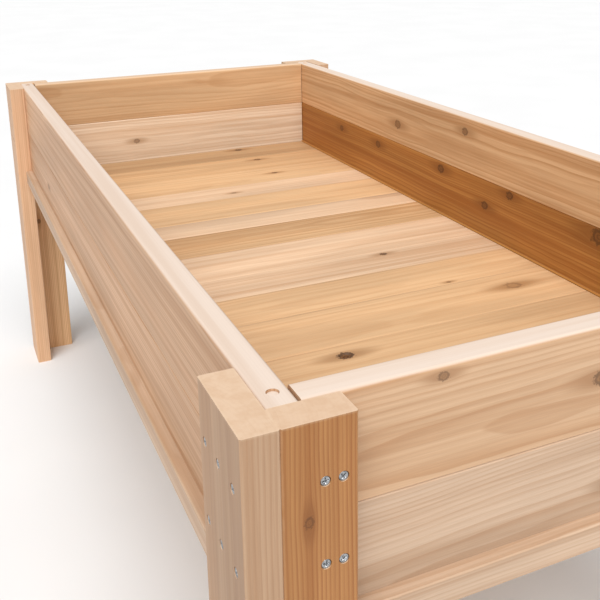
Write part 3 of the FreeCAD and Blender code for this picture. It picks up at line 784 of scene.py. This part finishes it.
class PLANTER_OT_walls(bpy.types.Operator):
    """Finishes the eight wall boards"""

    bl_idname = "planter.walls"
    bl_label = "Walls"

    def execute(self, context):
        for node, (tone, light, seed, late, streak, knots) in WALLS.items():
            grain, face = ("X", "Y") if node.startswith(("front", "back")) else ("Y", "X")
            # the rim's top colour holds painted top light
            top = RIM_TONES.get(node, "")
            dress(node, cedar(node, grain, face, tone, light, seed, late, streak, 0.6, knots=knots, top=top))
        return {"FINISHED"}


class PLANTER_OT_rails(bpy.types.Operator):
    """Finishes the four bottom rails"""

    bl_idname = "planter.rails"
    bl_label = "Rails"

    def execute(self, context):
        for number, side in enumerate(RAIL_TONES):
            node = f"{side}_rail"
            grain = "X" if side in ("front", "back") else "Y"
            tone, light = RAIL_TONES[side]
            dress(node, cedar(node, grain, "Z", tone, light, 70 + number, 0.40, 0.5, 0.8))
        return {"FINISHED"}


class PLANTER_OT_floor(bpy.types.Operator):
    """Makes the fifteen floor boards, with eased arrises and sunken knots"""

    bl_idname = "planter.floor"
    bl_label = "Floor"

    def execute(self, context):
        for number, (tone, light, seed, late, streak, ring, knots) in enumerate(FLOOR, 1):
            node = f"floor_board_{number:02d}"
            made = make_mesh("eased_" + node, *floor_board(node, knots))
            made.data.materials.append(
                cedar(node, "Y", "Z", tone, light, seed, late, streak, ring, knots=knots, wear_and_highlight=0.03)
            )
            finish_piece(made, node)
        return {"FINISHED"}


class PLANTER_OT_bearers(bpy.types.Operator):
    """Finishes the cleats and bearers under the floor"""

    bl_idname = "planter.bearers"
    bl_label = "Bearers"

    def execute(self, context):
        for number, (node, grain) in enumerate(
            (("front_cleat", "X"), ("back_cleat", "X"), ("centre_bearer", "X"), ("cross_bearer", "Y"))
        ):
            dress(node, cedar(node, grain, "Z", "tan", 1.0, 80 + number, 0.3, 0.3))
        return {"FINISHED"}


class PLANTER_OT_plugs(bpy.types.Operator):
    """Makes the wooden plugs in the rim of the long walls"""

    bl_idname = "planter.plugs"
    bl_label = "Rim plugs"

    def execute(self, context):
        middle, half = box_of("rim_plugs")
        radius = 4 * MM
        top = middle[2] + half[2]
        places = []
        for x, y in CORNERS:
            place = (middle[0] + x * (half[0] - radius), middle[1] + y * (half[1] - radius), top)
            places.append((place, (0, 0, 1)))
        # the plugs' tops take the pale top colour with painted top light
        material = cedar("rim_plugs", "Z", "Y", "milk", 1.0, 90, 0.5, 0.3, 0.4, (-400, -200), top="cream_and_top_light")
        made = repeated("turned_rim_plugs", plug_shape(), places, material)
        finish_piece(made, "rim_plugs")
        return {"FINISHED"}


class PLANTER_OT_screws(bpy.types.Operator):
    """Makes the screws of the legs and gives the bearers' screws their zinc finish"""

    bl_idname = "planter.screws"
    bl_label = "Screws"

    def execute(self, context):
        material = zinc()
        side_places = []
        end_places = []
        for x, y in CORNERS:
            for drop, insets in SIDE_ROWS.items():
                for inset in insets:
                    point = (x * (HALF_LONG - inset), y * (HALF_WIDE - SUNK), RIM - drop)
                    side_places.append((np.array(point) * MM, (0, y, 0)))
            for drop, insets in END_ROWS.items():
                for inset in insets:
                    point = (x * (HALF_LONG - SUNK), y * (HALF_WIDE - inset), RIM - drop)
                    end_places.append((np.array(point) * MM, (x, 0, 0)))
        long_screw = screw_shape(40 * MM)
        sides = repeated("side_screws_turned", long_screw, side_places, material)
        finish_piece(sides, "leg_side_screws")
        ends = repeated("end_screws_turned", long_screw, end_places, material)
        finish_piece(ends, "leg_end_screws")
        dress("bearer_screws", material)
        return {"FINISHED"}


class PLANTER_OT_stage(bpy.types.Operator):
    """Lays the pale floor and sets up the lights and the camera"""

    bl_idname = "planter.stage"
    bl_label = "Stage"

    def execute(self, context):
        scene = context.scene
        reach = 40.0
        corners = np.array([(-reach, -reach, 0), (reach, -reach, 0), (reach, reach, 0), (-reach, reach, 0)])
        ground = make_mesh("studio_floor", corners, np.array([[0, 1, 2, 3]]), smooth=False)
        material, tree, shader = new_material("studio_white")
        place = put(tree, "TexCoord").outputs["Object"]
        shade = ramp(tree, noise(tree, place, 3.0), 0.3, 0.7, 0.80, 0.82)
        tree.links.new(joined(tree, shade, shade, shade), shader.inputs["Base Color"])
        shader.inputs["Roughness"].default_value = 0.9
        ground.data.materials.append(material)

        world = bpy.data.worlds.new("studio")
        world.use_nodes = True
        world.node_tree.nodes["Background"].inputs[0].default_value = (1.0, 1.0, 1.0, 1.0)
        world.node_tree.nodes["Background"].inputs[1].default_value = SKY_STRENGTH
        scene.world = world
        scene.view_settings.view_transform = "Standard"

        data = bpy.data.lights.new("softbox", "SUN")
        data.energy = SUN_STRENGTH
        data.angle = SUN_SPREAD
        lamp = bpy.data.objects.new("softbox", data)
        scene.collection.objects.link(lamp)
        lamp.rotation_euler = SUN_WAY.to_track_quat("-Z", "Y").to_euler()

        data = bpy.data.cameras.new("camera")
        data.sensor_width = 36.0
        data.lens = LENS
        data.shift_x, data.shift_y = LENS_SHIFT
        data.clip_start = 0.01
        camera = bpy.data.objects.new("camera", data)
        scene.collection.objects.link(camera)
        aim = (CAMERA_AIM - CAMERA_PLACE).to_track_quat("-Z", "Y")
        roll = Matrix.Rotation(CAMERA_ROLL, 3, "Z").to_quaternion()
        camera.matrix_world = Matrix.LocRotScale(CAMERA_PLACE, aim @ roll, None)
        scene.camera = camera
        return {"FINISHED"}


class PLANTER_PT_pieces(bpy.types.Panel):
    """Lists the planter's settings and the operators that make its pieces"""

    bl_label = "Raised Planter"
    bl_idname = "PLANTER_PT_pieces"
    bl_space_type = "VIEW_3D"
    bl_region_type = "UI"
    bl_category = "Planter"

    def draw(self, context):
        scene = context.scene
        for settings in (scene.planter_sizes, scene.cedar_colours, scene.metal_colours):
            box = self.layout.box()
            for name in settings.__annotations__:
                box.prop(settings, name)
        for operator in OPERATORS:
            self.layout.operator(operator.bl_idname)


SETTINGS = {
    "cedar_colours": CedarColours,
    "metal_colours": MetalColours,
    "planter_sizes": PlanterSizes,
}
OPERATORS = (
    PLANTER_OT_legs,
    PLANTER_OT_walls,
    PLANTER_OT_rails,
    PLANTER_OT_floor,
    PLANTER_OT_bearers,
    PLANTER_OT_plugs,
    PLANTER_OT_screws,
    PLANTER_OT_stage,
)
CLASSES = (*SETTINGS.values(), *OPERATORS, PLANTER_PT_pieces)


def register():
    """Registers the classes and hangs the settings on the scene."""
    for kind in CLASSES:
        bpy.utils.register_class(kind)
    for name, kind in SETTINGS.items():
        setattr(bpy.types.Scene, name, bpy.props.PointerProperty(type=kind))


def unregister():
    """Takes the settings off the scene and unregisters the classes."""
    for name in SETTINGS:
        delattr(bpy.types.Scene, name)
    for kind in reversed(CLASSES):
        bpy.utils.unregister_class(kind)


def main():
    """Makes every piece in order."""
    register()
    for operator in OPERATORS:
        family, name = operator.bl_idname.split(".")
        getattr(getattr(bpy.ops, family), name)()


if __name__ == "__main__":
    main()
